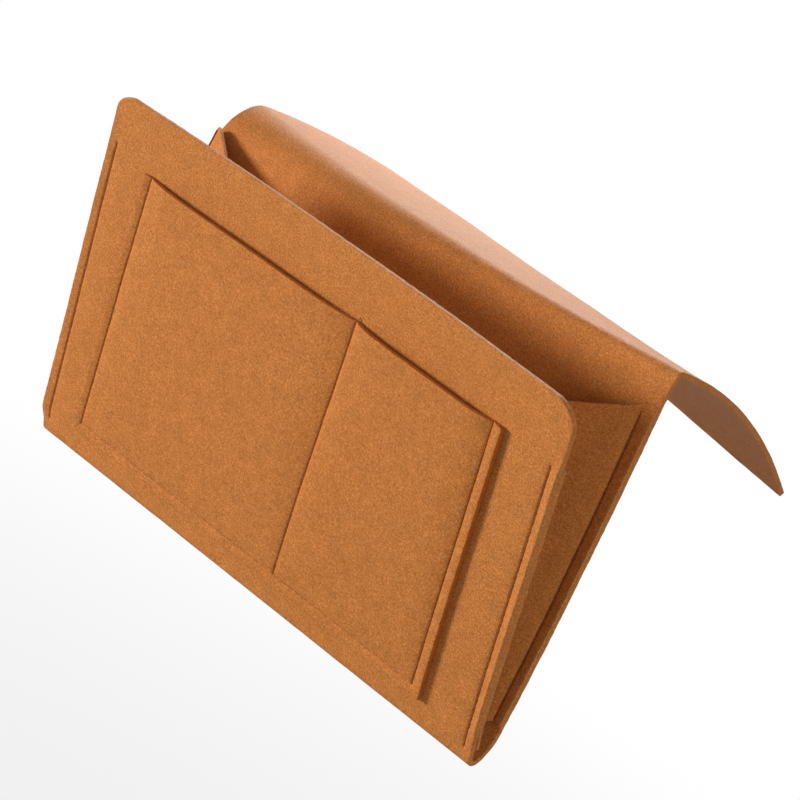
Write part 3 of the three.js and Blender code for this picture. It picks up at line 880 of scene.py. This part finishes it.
def stitched_thread(name, runs):
    points, places, faces = [], [], []
    ring_share = np.linspace(0, 1, thread_rings)
    dip = thread_dive * (1 - np.sqrt(np.clip(thread_dive_steepness * np.sin(math.pi * ring_share), 0, 1)))
    around = np.linspace(0, 2 * math.pi, thread_sides, endpoint=False)
    taper = np.where((ring_share == 0) | (ring_share == 1), thread_end_size, 1.0)
    for holes, out_ways in runs:
        for index, (start, end) in enumerate(zip(holes, holes[1:])):
            out_way = out_ways[index]
            length = np.linalg.norm(end - start)
            along = (end - start) / length
            aside = np.cross(along, out_way)
            aside /= np.linalg.norm(aside)
            upward = np.cross(aside, along)
            stitch_share = stitch_gap_share + (1 - 2 * stitch_gap_share) * ring_share
            centres = start + stitch_share[:, None] * (end - start) - dip[:, None] * out_way
            ring = np.cos(around)[:, None] * aside + np.sin(around)[:, None] * upward
            body = centres[:, None, :] + thread_radius * taper[:, None, None] * ring[None, :, :]
            first_point = sum(len(part) for part in points)
            points.append(body.reshape(-1, 3))
            travelled = (index + ring_share)[:, None] * length + 0 * around
            place = np.dstack([travelled, np.cos(around) + 0 * travelled, np.sin(around) + 0 * travelled])
            places.append(place.reshape(-1, 3))
            number = first_point + np.arange(thread_rings * thread_sides).reshape(thread_rings, thread_sides)
            beside = np.roll(number, -1, axis=1)
            walls = np.dstack([number[:-1], beside[:-1], beside[1:], number[1:]]).reshape(-1, 4)
            faces += walls[:, ::-1].tolist() + [number[0].tolist(), number[-1][::-1].tolist()]
    mesh = bpy.data.meshes.new(name)
    mesh.from_pydata(np.concatenate(points).tolist(), [], faces)
    mesh.shade_smooth()
    mesh.attributes.new("thread_place", "FLOAT_VECTOR", "POINT").data.foreach_set(
        "vector", np.concatenate(places).astype(np.float32).ravel())
    mesh.materials.append(sewing_thread)
    piece = bpy.data.objects.new(name, mesh)
    bpy.context.scene.collection.objects.link(piece)
    return piece


def sewn_run(place, u, height, out):
    u, height, out = np.broadcast_arrays(np.atleast_1d(u), height, out)
    return place(u[None, :] + 0.0, height[None, :] + 0.0, out[None, :])[0]


def hole_heights(low, high):
    return low + stitch_length * np.arange(int((high - low) / stitch_length) + 1)


front_out = np.array([0, -math.cos(opening_angle), -math.sin(opening_angle)])
rear_out = np.array([0, 1, 0])
flange_face = sheet_half + gusset_gap + 2 * gusset_half
for side, side_name in ((-1, "left"), (1, "right")):
    holes = hole_heights(front_seam_bottom, front_seam_tops[side])
    runs = []
    for face, way in ((sheet_half - thread_sink, 1), (thread_sink - flange_face, -1)):
        runs.append((sewn_run(front_place, side * seam_x, holes, face), [way * front_out] * len(holes)))
    thread = stitched_thread(f"{side_name}_front_thread", runs)
    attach(thread, "front")
    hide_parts(f"seam_{side_name}_front")

    holes = hole_heights(rear_seam_bottom, rear_seam_top)
    runs = []
    for face, way in ((sheet_half - thread_sink, 1), (thread_sink - flange_face, -1)):
        runs.append((sewn_run(rear_place, side * seam_x, holes, face), [way * rear_out] * len(holes)))
    thread = stitched_thread(f"{side_name}_rear_thread", runs)
    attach(thread, "back")
    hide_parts(f"seam_{side_name}_rear")

pocket_face = sheet_half + pocket_gap + 2 * pocket_half
top_hole_margin = 1 * mm
corner_hole_margin = 2 * mm
upright_holes = hole_heights(pocket_bottom_seam, pocket_top - top_hole_margin)
level_stitches = round((pocket_right_seam - pocket_left_seam) / stitch_length)
level_holes = pocket_left_seam + stitch_length * np.arange(1 + level_stitches)
level_holes = level_holes[level_holes < pocket_right_seam - corner_hole_margin]
level_holes = np.append(level_holes, pocket_right_seam)
runs = []
for face, way in ((pocket_face - thread_sink, 1), (thread_sink - sheet_half, -1)):
    for x in (pocket_left_seam, pocket_right_seam):
        runs.append((sewn_run(front_place, x, upright_holes, face), [way * front_out] * len(upright_holes)))
    level_run = sewn_run(front_place, level_holes, pocket_bottom_seam, face)
    runs.append((level_run, [way * front_out] * len(level_holes)))
pocket_thread = stitched_thread("pocket_edge_thread", runs)
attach(pocket_thread, "front")
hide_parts("seam_pocket_edge")

last_hole_rise = 2.2 * mm
last_hole_out = 0.1 * mm
divider_holes = np.append(upright_holes, pocket_top + last_hole_rise)
divider_out = np.append(np.full(len(upright_holes), pocket_face - thread_sink), sheet_half + last_hole_out)
runs = [(sewn_run(front_place, pocket_divider, divider_holes, divider_out), [front_out] * len(divider_holes)),
        (sewn_run(front_place, pocket_divider, upright_holes, thread_sink - sheet_half),
         [-front_out] * len(upright_holes))]
divider_thread = stitched_thread("pocket_divider_thread", runs)
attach(divider_thread, "front")
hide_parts("seam_pocket_divider")
